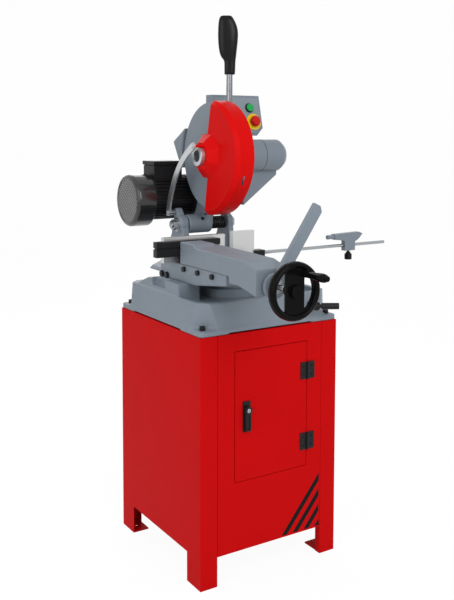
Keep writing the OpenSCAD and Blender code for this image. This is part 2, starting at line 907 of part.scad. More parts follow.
// Cover of the gear case with the long spindle housing and the rib below it
module gear_cover() {
    cover_x1 = case_x1 + cover_t;
    color(grey_paint) above_cabinet() difference() {
        union() {
            slab_x(case_x1, cover_x1) case_outline(0);
            xcyl(case_x1, housing_x1, spindle_at, housing_r - 1);
            slab_y(spindle_at[0] - 4, spindle_at[0] + 38) polygon([
                [case_x1, 360], [case_x1, 500], [housing_x1, 500], [housing_x1, 478]
            ]);
        }
        xcyl(case_x1 - 1, housing_x1 - 12, spindle_at, spindle_r + run);
        difference() {
            xcyl(197, 201, spindle_at, housing_r + 1);
            xcyl(190, 210, spindle_at, housing_r - 4);
        }
        for (at = cover_screw_places) {
            xcyl(case_x1 - 1, cover_x1 + 1, at, 4);
        }
    }
}

// Places of the cover screws, on the wall of the case
cover_screw_places = [
    motor_at + 76 * [cos(20), sin(20)],
    motor_at + 76 * [cos(-35), sin(-35)],
    motor_at + 76 * [cos(-90), sin(-90)],
    [287, 480],
    [215, 364],
    [127, 429],
    [70, 618]
];

module cover_screws() {
    face = case_x1 + cover_t;
    color(black_paint) above_cabinet() for (at = cover_screw_places) {
        difference() {
            union() {
                xcyl(face, face + 7, at, 6.5);
                xcyl(case_x1, face + 1, at, 4 - run);
            }
            xcyl(face + 3, face + 8, at, 3.5, $fn = 6);
        }
    }
}

// Fixed guard: rear sector over the blade, with the sleeve of the moving guard
module fixed_guard() {
    from = -82;
    to = 88;
    rim_r = guard_r - 6;
    wall_x = [-21, -18];
    color(grey_paint) above_cabinet() difference() {
        union() {
            slab_x(wall_x[0], case_x0) intersection() {
                difference() {
                    translate(spindle_at) circle(r = rim_r);
                    translate(spindle_at) circle(r = rim_r - 3);
                }
                wedge(spindle_at, rim_r, from, to);
            }
            slab_x(wall_x[0], wall_x[1]) {
                intersection() {
                    translate(spindle_at) circle(r = rim_r);
                    wedge(spindle_at, rim_r, from, to);
                }
                translate(spindle_at) circle(r = 62);
            }
            // Flange against the gear case
            slab_x(case_x0 - 4, case_x0) intersection() {
                difference() {
                    translate(spindle_at) circle(r = rim_r);
                    translate(spindle_at) circle(r = 130);
                }
                wedge(spindle_at, rim_r, -58, -4);
            }
            xcyl(-62, wall_x[1], spindle_at, sleeve_r);
        }
        xcyl(-70, -12, spindle_at, 20);
    }
}

module hub_ring() {
    color([0.7, 0.72, 0.73]) above_cabinet() difference() {
        xcyl(-77, -62, spindle_at, 30);
        xcyl(-80, -60, spindle_at, 20);
    }
}

// Moving guard: front half, turning on the sleeve
module moving_guard() {
    wall = 3;
    slope_r = 14;
    slope_x = 12;
    boss_r = 76;
    boss_x = -61;
    slot = [9, 30];
    color([0.85, 0.1, 0.1]) above_cabinet() difference() {
        union() {
            // Half shell: flat wall, sloped band and rim
            translate([0, spindle_at[0], spindle_at[1]]) rotate([0, 90, 0]) rotate([0, 0, 180])
                rotate_extrude(angle = 180) polygon([
                    [boss_r - 6, guard_x0], [guard_r - slope_r, guard_x0], [guard_r, guard_x0 + slope_x],
                    [guard_r, guard_x1], [guard_r - wall, guard_x1], [guard_r - wall, guard_x0 + slope_x + 1.2],
                    [guard_r - slope_r - 1.2, guard_x0 + wall], [boss_r - 6, guard_x0 + wall]
                ]);
            slab_x(guard_x0, guard_x0 + wall) translate(spindle_at) circle(r = boss_r);
            translate([boss_x, spindle_at[0], spindle_at[1]]) rotate([0, 90, 0])
                cylinder(r1 = 46, r2 = boss_r - 1, h = guard_x0 - boss_x);
            // Stud that meets the upper eye of the link
            xcyl(link_x + link_t / 2 + gap, -50, guard_pin, 5);
        }
        xcyl(-70, -30, spindle_at, sleeve_r + run);
        // Sight slot low on the rim
        translate([0, spindle_at[0], spindle_at[1]]) rotate([203, 0, 0])
            translate([-slot[0] / 2, guard_r - 10, -slot[1] / 2]) cube([slot[0], 20, slot[1]]);
    }
}

// Guard link: a flat bar bent to an arc, from the column pin to the guard stud
module guard_link() {
    sag = 35;
    half_bar = 12;
    chord = guard_pin - link_pin;
    span = norm(chord);
    arc_r = (span * span / 4 + sag * sag) / (2 * sag);
    side = [chord[1], -chord[0]] / span;
    centre = (guard_pin + link_pin) / 2 - (arc_r - sag) * side;
    a0 = atan2(link_pin[1] - centre[1], link_pin[0] - centre[0]);
    a1 = atan2(guard_pin[1] - centre[1], guard_pin[0] - centre[0]);
    color(bright_steel) above_cabinet() {
        slab_x(link_x - link_t / 2, link_x + link_t / 2) difference() {
            union() {
                intersection() {
                    difference() {
                        translate(centre) circle(r = arc_r + half_bar, $fn = 128);
                        translate(centre) circle(r = arc_r - half_bar, $fn = 128);
                    }
                    wedge(centre, arc_r, a0, a1);
                }
                translate(link_pin) circle(r = half_bar);
                translate(guard_pin) circle(r = half_bar);
            }
            translate(link_pin) circle(r = 6 + run);
        }
        xcyl(link_x - link_t / 2 - 6, link_x - link_t / 2 + 1, guard_pin, 9, $fn = 6);
    }
}

// Drive: spindle, blade, worm and wheel, motor
module spindle() {
    color(bright_steel) above_cabinet() {
        xcyl(-14, housing_x1 - 14, spindle_at, spindle_r);
        xcyl(-22, -14, spindle_at, 13, $fn = 6);
        xcyl(12, case_x0 - gap, spindle_at, 24);
    }
}

// Outline of a toothed disc
module toothed(r, tooth, count) {
    polygon([
        for (i = [0:count - 1])
            let (a = 360 * i / count, step = 360 / count)
            each [
                r * [cos(a), sin(a)],
                (r - tooth) * [cos(a + 0.35 * step), sin(a + 0.35 * step)]
            ]
    ]);
}

module saw_blade() {
    color(bright_steel) above_cabinet() slab_x(-blade_t / 2, blade_t / 2) difference() {
        translate(spindle_at) toothed(blade_r, 5, blade_teeth);
        translate(spindle_at) circle(r = spindle_r);
        for (a = [45:90:359]) {
            translate(spindle_at + 32 * [cos(a), sin(a)]) circle(r = 5.5);
        }
    }
}

module blade_flanges() {
    color(dark_steel) above_cabinet() difference() {
        union() {
            xcyl(-14, -blade_t / 2, spindle_at, 45);
            xcyl(blade_t / 2, 12, spindle_at, 45);
        }
        xcyl(-20, 20, spindle_at, spindle_r);
    }
}

module worm_wheel() {
    color("goldenrod") above_cabinet() slab_x(drive_x - 13, drive_x + 13) difference() {
        translate(spindle_at) toothed(44, 4, 30);
        translate(spindle_at) circle(r = spindle_r);
    }
}

module worm_shaft() {
    color(dark_steel) above_cabinet() on_worm_line() {
        translate([0, 0, 20]) cylinder(r = 8, h = worm_len - 26);
        translate([0, 0, worm_len - 92]) cylinder(r = worm_r, h = 66);
        translate([0, 0, 14]) cylinder(r1 = 13.4, r2 = 25.4, h = 12);
    }
}

module motor_rotor() {
    color(dark_steel) above_cabinet() {
        xcyl(-205, drive_x - 20, motor_at, 10);
        xcyl(-112, 8, motor_at, 50);
        translate([drive_x - 26, motor_at[0], motor_at[1]]) rotate([0, 90, 0])
            cylinder(r1 = 25.4, r2 = 13.4, h = 12);
    }
}

module motor_frame() {
    fins = 40;
    color(black_paint) above_cabinet() difference() {
        union() {
            xcyl(motor_x0, case_x0, motor_at, motor_r - 6);
            slab_x(motor_x0 + 12, case_x0 - 12) translate(motor_at) for (i = [0:fins - 1]) {
                rotate(360 * i / fins) translate([motor_r - 8, -1.6]) square([8 - gap, 3.2]);
            }
            xcyl(motor_x0, motor_x0 + 12, motor_at, motor_r);
            xcyl(case_x0 - 12, case_x0, motor_at, motor_r);
        }
        xcyl(motor_x0 + 8, case_x0 + 1, motor_at, 52);
        xcyl(motor_x0 - 1, motor_x0 + 9, motor_at, 10 + run);
    }
}

module fan_cover() {
    slots = 16;
    length = motor_x0 - fan_x0;
    color(black_paint) above_cabinet() difference() {
        translate([motor_x0, motor_at[0], motor_at[1]]) rotate([0, -90, 0]) rotate_extrude() polygon([
            [0, 0], [fan_r, 0], [fan_r, length - 14], [fan_r - 4, length - 4], [fan_r - 14, length], [0, length]
        ]);
        xcyl(fan_x0 + 15, motor_x0 - 5, motor_at, fan_r - 3);
        xcyl(fan_x0 + 3, fan_x0 + 16, motor_at, fan_r - 16);
        xcyl(motor_x0 - 6, motor_x0 + 1, motor_at, 50);
        for (i = [0:slots - 1]) {
            translate([fan_x0 - 1, motor_at[0], motor_at[1]]) rotate([360 * i / slots, 0, 0])
                translate([0, 24, -2.5]) cube([6, fan_r - 42, 5]);
        }
    }
}

module motor_fan() {
    color(black_paint) above_cabinet() difference() {
        union() {
            xcyl(-194, -160, motor_at, 18);
            for (i = [0:7]) {
                translate([-192, motor_at[0], motor_at[1]]) rotate([45 * i, 0, 0])
                    translate([0, 15, -1.5]) cube([30, 47, 3]);
            }
        }
        xcyl(-200, -150, motor_at, 10);
    }
}

module terminal_box() {
    color(black_paint) above_cabinet() difference() {
        union() {
            box(-124, -10, motor_at[0] - 42, motor_at[0] + 42, motor_at[1] + 40, 497);
            box(-127, -7, motor_at[0] - 45, motor_at[0] + 45, 499, 513);
            box(-122, -12, motor_at[0] - 40, motor_at[0] + 40, 496, 500);
        }
        xcyl(motor_x0, case_x0, motor_at, motor_r);
        box(-118, -16, motor_at[0] - 36, motor_at[0] + 36, motor_at[1] + motor_r + 6, 506);
    }
}

// Control box with a leaning front; local +Z points out of the front face
module on_front(x, z) {
    share = (z - box_front[0][1]) / (box_front[1][1] - box_front[0][1]);
    y = box_front[0][0] + share * (box_front[1][0] - box_front[0][0]);
    translate([x, y, z]) rotate([90 - box_lean, 0, 0]) children();
}

start_at = [191, 705];
estop_at = [203, 655];
stem_r = 11;

module box_form(inset) {
    y0 = box_front[0][0];
    y1 = box_front[1][0];
    z0 = box_front[0][1];
    z1 = box_front[1][1];
    intersection() {
        slab_x(box_x0 + inset, box_x1 - inset) polygon([
            [y0 + 1.3 * inset, z0 + inset], [y1 + 0.8 * inset, z1 - inset],
            [200 - inset, z1 - inset], [200 - inset, z0 + inset]
        ]);
        slab_y(100, 220) polygon([
            [box_x0, z0], [box_x1 - 30 - inset / 2, z0], [box_x1 - inset / 2, z0 + 28], [box_x1, z1], [box_x0, z1]
        ]);
    }
}

module control_box() {
    color(grey_paint) above_cabinet() difference() {
        box_form(0);
        box_form(4);
        on_front(start_at[0], start_at[1]) translate([0, 0, -10]) cylinder(r = stem_r + run, h = 20);
        on_front(estop_at[0], estop_at[1]) translate([0, 0, -10]) cylinder(r = stem_r + run, h = 20);
    }
}

module start_button() {
    color([0.2, 0.75, 0.35]) above_cabinet() on_front(start_at[0], start_at[1]) {
        translate([0, 0, -14]) cylinder(r = stem_r, h = 20);
        translate([0, 0, 5]) cylinder(r = start_d / 2, h = 6);
    }
}

module estop_collar() {
    color([0.85, 0.75, 0.2]) above_cabinet() on_front(estop_at[0], estop_at[1]) difference() {
        cylinder(r = 30, h = 3);
        translate([0, 0, -1]) cylinder(r = stem_r + run, h = 6);
    }
}

module estop_button() {
    color([0.75, 0.06, 0.06]) above_cabinet() on_front(estop_at[0], estop_at[1]) {
        translate([0, 0, -14]) cylinder(r = stem_r, h = 24);
        rotate_extrude() polygon([
            [0, 9], [estop_d / 2 - 2, 9], [estop_d / 2, 12], [estop_d / 2, 17], [estop_d / 2 - 5, 23], [0, 25]
        ]);
    }
}

module lever_tube() {
    color(black_paint) above_cabinet() zcyl(lever_z0, lever_z1 + 80, lever_at[0], lever_at[1], 11);
}

module lever_grip() {
    // The grip's broad side is turned away from the front
    turn = 32.4;
    color(black_paint) above_cabinet() translate([lever_at[0], lever_at[1], lever_z1 - 8]) difference() {
        rotate(-turn) intersection() {
            slab_y(-22, 22) polygon([
                [-15, 0], [17, 0], [18.5, 46], [21, 62], [26.5, 104], [28.5, 145], [23.5, 169], [15, 186],
                [8, 197], [2, 203], [-20, 203], [-29, 196], [-34, 186], [-36.5, 169], [-37.5, 140],
                [-36.5, 104], [-33, 80], [-27, 62], [-18, 52], [-15.5, 46]
            ]);
            slab_x(-40, 40) polygon([
                [-14, 0], [14, 0], [15.8, 46], [21, 104], [21.8, 140], [19, 172], [10, 203],
                [-10, 203], [-19, 172], [-21.8, 140], [-21, 104], [-15.8, 46]
            ]);
        }
        translate([0, 0, -1]) cylinder(r = 11, h = 89);
    }
}

// Parts, one by one
left_side_panel();
right_side_panel();
front_panel();
back_panel();
top_plate();
shelf();
foot_plates();
hinge_frame_leaves();
door();
hinge_door_leaves();
latch_plate();
latch_handle();
latch_tongue();
base_casting();
casting_bolts();
turntable();
swivel_clamp_ring();
lock_lever();
column();
pivot_shaft();
pivot_nuts();
return_spring();
vise_bed();
bed_screws();
fixed_jaw_left();
fixed_jaw_right();
vise_nut();
vise_carriage();
moving_jaw();
vise_screw();
handwheel();
crank_grip();
clamp_lever();
stop_bracket();
stop_rod();
stop_clamp();
stop_knob();
gear_case();
gear_cover();
cover_screws();
fixed_guard();
hub_ring();
moving_guard();
guard_link();
spindle();
saw_blade();
blade_flanges();
worm_wheel();
worm_shaft();
motor_frame();
fan_cover();
motor_fan();
motor_rotor();
terminal_box();
control_box();
start_button();
estop_collar();
estop_button();
lever_tube();
lever_grip();
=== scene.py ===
"""Looks of a manual cold saw: red cabinet, grey castings, pull-down head, vise and stop."""

import json
import math

import bmesh
import bpy
import numpy as np
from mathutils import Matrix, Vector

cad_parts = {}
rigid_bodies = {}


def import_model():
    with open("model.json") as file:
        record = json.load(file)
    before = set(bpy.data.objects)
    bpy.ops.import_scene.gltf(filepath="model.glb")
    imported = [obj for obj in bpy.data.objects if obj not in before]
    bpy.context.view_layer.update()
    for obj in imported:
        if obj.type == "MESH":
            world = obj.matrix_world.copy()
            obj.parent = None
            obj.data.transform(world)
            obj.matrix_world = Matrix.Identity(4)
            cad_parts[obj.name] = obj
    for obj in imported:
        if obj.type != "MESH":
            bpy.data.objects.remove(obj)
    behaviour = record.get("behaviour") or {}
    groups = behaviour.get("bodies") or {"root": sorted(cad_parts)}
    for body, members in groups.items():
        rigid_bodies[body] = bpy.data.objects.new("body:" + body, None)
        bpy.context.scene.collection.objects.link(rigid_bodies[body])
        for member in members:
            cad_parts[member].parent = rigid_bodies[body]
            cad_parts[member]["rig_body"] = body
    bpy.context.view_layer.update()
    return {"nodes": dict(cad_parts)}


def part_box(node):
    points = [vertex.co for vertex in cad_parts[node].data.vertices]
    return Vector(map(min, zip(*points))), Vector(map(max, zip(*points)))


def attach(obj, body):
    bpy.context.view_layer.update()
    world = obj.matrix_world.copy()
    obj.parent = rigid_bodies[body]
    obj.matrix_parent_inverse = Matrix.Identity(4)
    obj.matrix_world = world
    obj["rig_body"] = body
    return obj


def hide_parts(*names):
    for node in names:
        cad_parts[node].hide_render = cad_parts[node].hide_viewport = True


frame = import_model()
scene = bpy.context.scene
MM = 0.001
FRONT = (0, -1, 0)

# Studio: a pale floor that sweeps up behind the machine, three soft lamps,
# and a camera that stands where the photographer stood.
scene.view_settings.view_transform = "Standard"
camera_tilt = math.radians(90 - 4.435)
camera_roll = math.radians(-0.148)
camera_turn = math.radians(-32.418)

camera = bpy.data.cameras.new("camera")
camera.lens = 51.56
camera.shift_x = -0.0086
camera.shift_y = -0.169
camera_object = bpy.data.objects.new("camera", camera)
camera_object.location = (-1.5403, -2.4639, 1.4084)
camera_object.rotation_euler = (camera_tilt, camera_roll, camera_turn)
scene.collection.objects.link(camera_object)
scene.camera = camera_object


def add_lamp(name, place, aim, size, power):
    """A square area lamp at a place, turned to face a point."""
    lamp = bpy.data.lights.new(name, "AREA")
    lamp.shape = "SQUARE"
    lamp.size = size
    lamp.energy = power
    lamp_object = bpy.data.objects.new(name, lamp)
    lamp_object.location = place
    away = np.array(aim, float) - np.array(place, float)
    flat = math.hypot(away[0], away[1])
    lamp_object.rotation_euler = (math.atan2(flat, -away[2]), 0, math.atan2(away[1], away[0]) - math.pi / 2)
    scene.collection.objects.link(lamp_object)


lamp_size = 2.4
add_lamp("key_lamp", place=(-0.3, -3.6, 2.9), aim=(0, 0, 0.9), size=lamp_size, power=68)
add_lamp("side_lamp", place=(-3.2, -1.0, 2.2), aim=(0, 0, 0.8), size=lamp_size, power=33)
add_lamp("back_lamp", place=(0.6, 3.0, 2.8), aim=(0, 0, 1.0), size=lamp_size, power=40)

world = bpy.data.worlds.new("studio")
scene.world = world
world.use_nodes = True
world_nodes = world.node_tree.nodes
world_links = world.node_tree.links
background = world_nodes["Background"]
background.inputs["Color"].default_value = (1, 1, 1, 1)


def seen_directly(nodes, links):
    """A value of 1 for rays from the camera, in mirrors and through glass, otherwise 0."""
    path = nodes.new("ShaderNodeLightPath")
    direct = nodes.new("ShaderNodeMath")
    direct.operation = "MAXIMUM"
    links.new(path.outputs["Is Camera Ray"], direct.inputs[0])
    links.new(path.outputs["Is Transmission Ray"], direct.inputs[1])
    mirrored = nodes.new("ShaderNodeMath")
    mirrored.operation = "MAXIMUM"
    links.new(direct.outputs[0], mirrored.inputs[0])
    links.new(path.outputs["Is Glossy Ray"], mirrored.inputs[1])
    return mirrored.outputs[0]


world_strength = world_nodes.new("ShaderNodeMapRange")
world_strength.inputs["To Min"].default_value = 0.54
world_strength.inputs["To Max"].default_value = 1.0
world_links.new(seen_directly(world_nodes, world_links), world_strength.inputs["Value"])
world_links.new(world_strength.outputs["Result"], background.inputs["Strength"])


def mesh_piece(name, points, faces):
    """A mesh object from an array of points and a list of faces, with smooth shading off."""
    mesh = bpy.data.meshes.new(name)
    mesh.from_pydata(np.asarray(points, float).tolist(), [], [list(f) for f in faces])
    mesh.update()
    piece = bpy.data.objects.new(name, mesh)
    scene.collection.objects.link(piece)
    return piece


def smooth_shaded(mesh):
    """Smooth shading on every face."""
    for face in mesh.polygons:
        face.use_smooth = True


def sweep_floor():
    """A flat floor in front, a quarter circle behind it, then a wall: one profile drawn out along X."""
    radius = 2.0
    back = 3.2
    front = -7.0
    wall_top = 6.0
    half_width = 9.0
    turn = np.linspace(0, math.pi / 2, 24)
    bend_y = back + radius * np.sin(turn)
    bend_z = radius * (1 - np.cos(turn))
    profile_y = np.concatenate([[front], bend_y, [back + radius]])
    profile_z = np.concatenate([[0.0], bend_z, [wall_top]])
    rows = []
    for side in (-half_width, half_width):
        x = np.full_like(profile_y, side)
        rows.append(np.stack([
            x * math.cos(camera_turn) - profile_y * math.sin(camera_turn),
            x * math.sin(camera_turn) + profile_y * math.cos(camera_turn),
            profile_z,
        ], axis=1))
    count = len(profile_y)
    points = np.concatenate(rows)
    low = np.arange(count - 1)
    faces = np.stack([low, low + count, low + count + 1, low + 1], axis=1)
    return mesh_piece("studio_floor", points, faces)


floor = sweep_floor()
smooth_shaded(floor.data)
floor_paper = bpy.data.materials.new("floor_paper")
floor_paper.use_nodes = True
paper_nodes = floor_paper.node_tree.nodes
paper_links = floor_paper.node_tree.links
paper_nodes.clear()
paper_diffuse = paper_nodes.new("ShaderNodeBsdfDiffuse")
paper_diffuse.inputs["Color"].default_value = (0.86, 0.86, 0.86, 1)
paper_glow = paper_nodes.new("ShaderNodeEmission")
paper_glow.inputs["Color"].default_value = (1, 1, 1, 1)
paper_glow.inputs["Strength"].default_value = 1.02
paper_mix = paper_nodes.new("ShaderNodeMixShader")
paper_share = paper_nodes.new("ShaderNodeMath")
paper_share.operation = "MULTIPLY"
paper_share.inputs[1].default_value = 0.93
paper_out = paper_nodes.new("ShaderNodeOutputMaterial")
paper_links.new(seen_directly(paper_nodes, paper_links), paper_share.inputs[0])
paper_links.new(paper_share.outputs[0], paper_mix.inputs["Fac"])
paper_links.new(paper_diffuse.outputs["BSDF"], paper_mix.inputs[1])
paper_links.new(paper_glow.outputs["Emission"], paper_mix.inputs[2])
paper_links.new(paper_mix.outputs["Shader"], paper_out.inputs["Surface"])
floor.data.materials.append(floor_paper)

# Finishes: one node group gives every coat its drift of tone, its grain and its patchy shine.
# A coat then sets colour, roughness and grain for paint, plastic or metal.


def centred_noise(nodes, links, place, scale, detail):
    """A noise pattern that swings round 0 instead of 0.5."""
    noise = nodes.new("ShaderNodeTexNoise")
    noise.inputs["Scale"].default_value = scale
    noise.inputs["Detail"].default_value = detail
    links.new(place.outputs["Object"], noise.inputs["Vector"])
    centred = nodes.new("ShaderNodeMath")
    centred.operation = "SUBTRACT"
    centred.inputs[1].default_value = 0.5
    links.new(noise.outputs["Fac"], centred.inputs[0])
    return centred.outputs[0]


def finish_group():
    """Node group: slow drift of tone, fine grain for bump, and a small drift of roughness."""
    group = bpy.data.node_groups.new("finish", "ShaderNodeTree")
    side = group.interface
    side.new_socket("Color", in_out="INPUT", socket_type="NodeSocketColor")
    for name in ("Tone", "Roughness", "Drift", "Grain Scale"):
        side.new_socket(name, in_out="INPUT", socket_type="NodeSocketFloat")
    side.new_socket("Color", in_out="OUTPUT", socket_type="NodeSocketColor")
    side.new_socket("Roughness", in_out="OUTPUT", socket_type="NodeSocketFloat")
    side.new_socket("Height", in_out="OUTPUT", socket_type="NodeSocketFloat")
    nodes = group.nodes
    links = group.links
    given = nodes.new("NodeGroupInput")
    made = nodes.new("NodeGroupOutput")
    place = nodes.new("ShaderNodeTexCoord")

    shade = nodes.new("ShaderNodeMath")
    shade.operation = "MULTIPLY_ADD"
    shade.inputs[2].default_value = 1.0
    links.new(centred_noise(nodes, links, place, scale=5.0, detail=3.0), shade.inputs[0])
    links.new(given.outputs["Tone"], shade.inputs[1])
    toned = nodes.new("ShaderNodeVectorMath")
    toned.operation = "SCALE"
    links.new(given.outputs["Color"], toned.inputs[0])
    links.new(shade.outputs[0], toned.inputs["Scale"])
    links.new(toned.outputs["Vector"], made.inputs["Color"])

    rough = nodes.new("ShaderNodeMath")
    rough.operation = "MULTIPLY_ADD"
    links.new(centred_noise(nodes, links, place, scale=38.0, detail=4.0), rough.inputs[0])
    links.new(given.outputs["Drift"], rough.inputs[1])
    links.new(given.outputs["Roughness"], rough.inputs[2])
    links.new(rough.outputs[0], made.inputs["Roughness"])

    grain = nodes.new("ShaderNodeTexNoise")
    grain.inputs["Detail"].default_value = 2.0
    links.new(place.outputs["Object"], grain.inputs["Vector"])
    links.new(given.outputs["Grain Scale"], grain.inputs["Scale"])
    links.new(grain.outputs["Fac"], made.inputs["Height"])
    return group


finish = finish_group()


def coat(name, color, roughness, grain_scale, grain_depth, tone=0.12, drift=0.12,
         metallic=0.0, clear=0.0, shine=0.5, ior=1.5):
    """A painted, moulded or plain metal skin: the finish group drives colour, roughness and bump."""
    material = bpy.data.materials.new(name)
    material.use_nodes = True
    nodes = material.node_tree.nodes
    links = material.node_tree.links
    shader = nodes["Principled BSDF"]
    shader.inputs["Metallic"].default_value = metallic
    shader.inputs["Coat Weight"].default_value = clear
    shader.inputs["Specular IOR Level"].default_value = shine
    shader.inputs["IOR"].default_value = ior
    shader.inputs["Coat Roughness"].default_value = 0.12
    skin = nodes.new("ShaderNodeGroup")
    skin.node_tree = finish
    skin.inputs["Color"].default_value = (*color, 1)
    skin.inputs["Tone"].default_value = tone
    skin.inputs["Roughness"].default_value = roughness
    skin.inputs["Drift"].default_value = drift
    skin.inputs["Grain Scale"].default_value = grain_scale
    bump = nodes.new("ShaderNodeBump")
    bump.inputs["Strength"].default_value = 0.5
    bump.inputs["Distance"].default_value = grain_depth
    links.new(skin.outputs["Color"], shader.inputs["Base Color"])
    links.new(skin.outputs["Roughness"], shader.inputs["Roughness"])
    links.new(skin.outputs["Height"], bump.inputs["Height"])
    links.new(bump.outputs["Normal"], shader.inputs["Normal"])
    return material


# Ways of forming: copies of CAD nodes with eased edges or a cast skin, turned and lofted forms, blocks,
# and the two ways in which a piece joins the frame: in a node's place, or as a detail on a body.


def welded_copy(node, name):
    """A copy of a CAD node's mesh with its loose triangles joined and flat faces merged."""
    mesh = frame["nodes"][node].data.copy()
    mesh.materials.clear()
    mesh.name = name
    work = bmesh.new()
    work.from_mesh(mesh)
    bmesh.ops.remove_doubles(work, verts=work.verts, dist=2e-6)
    bmesh.ops.dissolve_limit(work, angle_limit=math.radians(0.3), verts=work.verts, edges=work.edges)
    work.to_mesh(mesh)
    work.free()
    piece = bpy.data.objects.new(name, mesh)
    scene.collection.objects.link(piece)
    return piece


def applied(piece):
    """Writes the result of the piece's modifiers into its mesh."""
    bpy.context.view_layer.update()
    result = bpy.data.meshes.new_from_object(piece.evaluated_get(bpy.context.evaluated_depsgraph_get()))
    result.name = piece.name
    piece.modifiers.clear()
    piece.data = result


def shade_by_angle(mesh, limit):
    """Smooth shading, with edges sharper than the limit left hard."""
    smooth_shaded(mesh)
    mesh.set_sharp_from_angle(angle=math.radians(limit))


def even_shading(piece):
    """Large flat faces keep their own direction; the rounded edges beside them take up the turn.
    Faces with more than four corners are split last."""
    even = piece.modifiers.new("even", "WEIGHTED_NORMAL")
    even.mode = "FACE_AREA"
    even.weight = 80
    even.keep_sharp = True
    split = piece.modifiers.new("split", "TRIANGULATE")
    split.min_vertices = 5
    split.keep_custom_normals = True
    applied(piece)


def rounded_off(piece, radius, segments=2, miter="MITER_SHARP"):
    """Rounds the edges of a piece and evens its shading."""
    bevel = piece.modifiers.new("edges", "BEVEL")
    bevel.width = radius
    bevel.segments = segments
    bevel.limit_method = "ANGLE"
    bevel.angle_limit = math.radians(32)
    bevel.miter_outer = miter
    applied(piece)
    shade_by_angle(piece.data, 34)
    even_shading(piece)
    return piece


def reshaped(piece, change):
    """Moves a piece's points by a rule that takes and returns an array of places."""
    place = np.empty(len(piece.data.vertices) * 3)
    piece.data.vertices.foreach_get("co", place)
    piece.data.vertices.foreach_set("co", change(place.reshape(-1, 3)).ravel())
    piece.data.update()


def stands_for(piece, node):
    """The piece takes a CAD node's place: it rides on the node's body, and the node is hidden."""
    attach(piece, frame["nodes"][node]["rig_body"])
    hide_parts(node)


def add_piece(piece, body):
    """A detail with no CAD node of its own rides on a body."""
    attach(piece, body)


def eased(node, material, radius, segments=2, change=None):
    """A piece with rounded-over edges: a joined copy of the CAD node, reshaped if asked, under a bevel."""
    piece = welded_copy(node, node + "_eased")
    if change:
        reshaped(piece, change)
    piece.data.materials.append(material)
    rounded_off(piece, radius, segments, "MITER_ARC")
    stands_for(piece, node)


def cast_form(node, material, grid, rounds):
    """A casting: the CAD node skinned on a fine grid, then relaxed, which rounds its edges
    and inner corners."""
    piece = welded_copy(node, node + "_cast")
    skin = piece.modifiers.new("skin", "REMESH")
    skin.mode = "VOXEL"
    skin.voxel_size = grid
    skin.use_smooth_shade = True
    relax = piece.modifiers.new("relax", "SMOOTH")
    relax.factor = 0.5
    relax.iterations = rounds
    applied(piece)
    smooth_shaded(piece.data)
    piece.data.materials.append(material)
    stands_for(piece, node)
    return piece


def row_faces(rows, steps):
    """Quads between neighbouring rings of points, each ring with the same count of steps."""
    row = np.arange(rows - 1)[:, None] * steps
    col = np.arange(steps)[None, :]
    nxt = (col + 1) % steps
    quads = np.stack([row + col, row + nxt, row + steps + nxt, row + steps + col], axis=-1)
    return quads.reshape(-1, 4).tolist()


def turned(radii, heights, place, axis, steps=40, loop=False):
    """A turned form: every (radius, height) of the profile carried round the axis through a place.
    Returns points and faces. Ends with a radius above 0 are closed with a flat face,
    unless the profile is a loop."""
    axis = np.asarray(axis, float) / np.linalg.norm(axis)
    helper = np.array((0.0, 0.0, 1.0)) if abs(axis[2]) < 0.9 else np.array((1.0, 0.0, 0.0))
    across = np.cross(axis, helper)
    across /= np.linalg.norm(across)
    other = np.cross(axis, across)
    turn = np.linspace(0, 2 * math.pi, steps, endpoint=False)
    ring = np.cos(turn)[:, None] * across + np.sin(turn)[:, None] * other
    r = np.asarray(radii, float)[:, None, None]
    h = np.asarray(heights, float)[:, None, None]
    points = (np.asarray(place, float) + h * axis + r * ring).reshape(-1, 3)
    faces = row_faces(len(radii), steps)
    if radii[0] > 0 and not loop:
        faces.append(list(range(steps))[::-1])
    if radii[-1] > 0 and not loop:
        faces.append(list(range((len(radii) - 1) * steps, len(radii) * steps)))
    return points, faces


def lofted(rings):
    """A closed skin through rings of points: rows of quads between them, flat faces at both ends."""
    rings = np.asarray(rings, float)
    rows, steps = rings.shape[:2]
    faces = row_faces(rows, steps)
    faces.append(list(range(steps))[::-1])
    faces.append(list(range((rows - 1) * steps, rows * steps)))
    return rings.reshape(-1, 3), faces


def slat(middle, half):
    """A block round a middle point with the given half sizes."""
    sign = np.array([(x, y, z) for x in (-1, 1) for y in (-1, 1) for z in (-1, 1)], float)
    points = np.asarray(middle, float) + sign * np.asarray(half, float)
    return points, [(0, 1, 3, 2), (4, 6, 7, 5), (0, 4, 5, 1), (2, 3, 7, 6), (0, 2, 6, 4), (1, 5, 7, 3)]


def block(low, high):
    """A block between two corners."""
    low = np.asarray(low, float)
    high = np.asarray(high, float)
    return slat((low + high) / 2, (high - low) / 2)


def joined(name, forms, material, smooth=32):
    """One object from several (points, faces) forms, with doubled points merged and faces turned outwards."""
    points = []
    faces = []
    for form_points, form_faces in forms:
        start = sum(len(p) for p in points)
        points.append(np.asarray(form_points, float))
        faces += [[i + start for i in face] for face in form_faces]
    piece = mesh_piece(name, np.concatenate(points), faces)
    work = bmesh.new()
    work.from_mesh(piece.data)
    bmesh.ops.remove_doubles(work, verts=work.verts, dist=1e-6)
    bmesh.ops.recalc_face_normals(work, faces=work.faces)
    work.to_mesh(piece.data)
    work.free()
    shade_by_angle(piece.data, smooth)
    piece.data.materials.append(material)
    return piece


def pan_head(place, axis, radius):
    """A low domed screw head with a sunk driver socket."""
    r = np.array([1.0, 0.96, 0.78, 0.46, 0.42, 0.0]) * radius
    h = np.array([0.0, 0.28, 0.5, 0.56, 0.24, 0.22]) * radius
    return turned(r, h, place, axis, 24)


